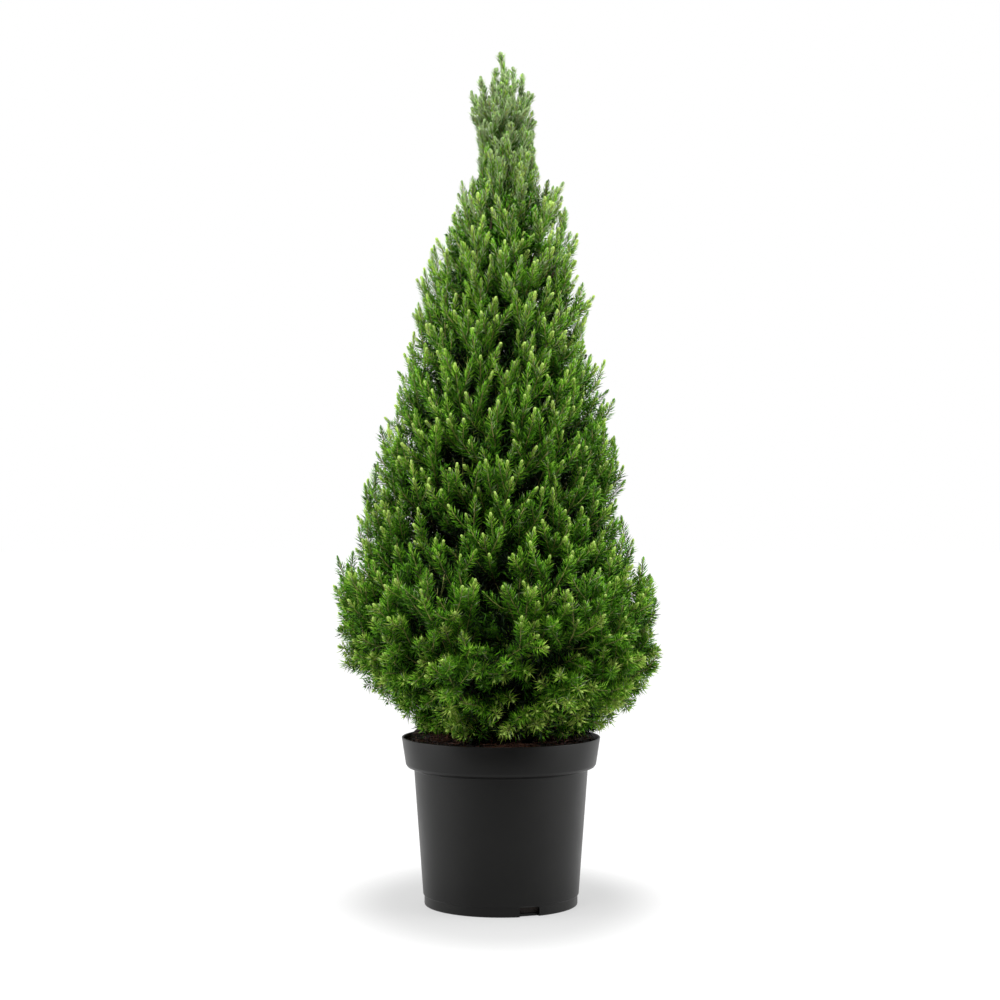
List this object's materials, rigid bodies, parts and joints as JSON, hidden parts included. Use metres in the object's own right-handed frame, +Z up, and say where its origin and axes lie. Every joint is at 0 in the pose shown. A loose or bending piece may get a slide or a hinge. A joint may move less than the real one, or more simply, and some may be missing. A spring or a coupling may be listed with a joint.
{
  "type": "potted dwarf alberta spruce",
  "caption": "Dwarf spruce with a dense cone of soft green foliage and a narrow spire, in a round black nursery pot filled with peat.",
  "frame": {"origin": "middle of the pot's flat underside", "axes": "+Z up along the trunk, -Y towards the front"},
  "size_m": [0.3838, 0.3958, 1.031],
  "materials": {
    "pot": "satin black moulded polypropylene",
    "soil": "moist dark peat with reddish-brown fibres",
    "bark": "thin scaly grey-brown bark",
    "foliage": "soft green needles, yellow-green at the young shoots"
  },
  "bodies": {
    "root": {"pot": "pot", "soil": "soil", "trunk": "bark", "bough_skirt_1": "bark", "bough_skirt_2": "bark", "bough_skirt_3": "bark", "bough_skirt_4": "bark", "bough_skirt_5": "bark", "bough_skirt_6": "bark", "bough_belly_1": "bark", "bough_belly_2": "bark", "bough_belly_3": "bark", "bough_belly_4": "bark", "bough_belly_5": "bark", "bough_belly_6": "bark", "bough_waist_1": "bark", "bough_waist_2": "bark", "bough_waist_3": "bark", "bough_waist_4": "bark", "bough_waist_5": "bark", "bough_middle_1": "bark", "bough_middle_2": "bark", "bough_middle_3": "bark", "bough_middle_4": "bark", "bough_upper_1": "bark", "bough_upper_2": "bark", "bough_upper_3": "bark", "foliage_skirt_1": "foliage", "foliage_skirt_2": "foliage", "foliage_skirt_3": "foliage", "foliage_skirt_4": "foliage", "foliage_skirt_5": "foliage", "foliage_skirt_6": "foliage", "foliage_belly_1": "foliage", "foliage_belly_2": "foliage", "foliage_belly_3": "foliage", "foliage_belly_4": "foliage", "foliage_belly_5": "foliage", "foliage_belly_6": "foliage", "foliage_waist_1": "foliage", "foliage_waist_2": "foliage", "foliage_waist_3": "foliage", "foliage_waist_4": "foliage", "foliage_waist_5": "foliage", "foliage_middle_1": "foliage", "foliage_middle_2": "foliage", "foliage_middle_3": "foliage", "foliage_middle_4": "foliage", "foliage_upper_1": "foliage", "foliage_upper_2": "foliage", "foliage_upper_3": "foliage", "foliage_shoulder_1": "foliage", "foliage_shoulder_2": "foliage", "foliage_shoulder_3": "foliage", "foliage_spire_1": "foliage", "foliage_spire_2": "foliage", "foliage_spire_3": "foliage", "foliage_leader": "foliage"}
  },
  "joints": []
}
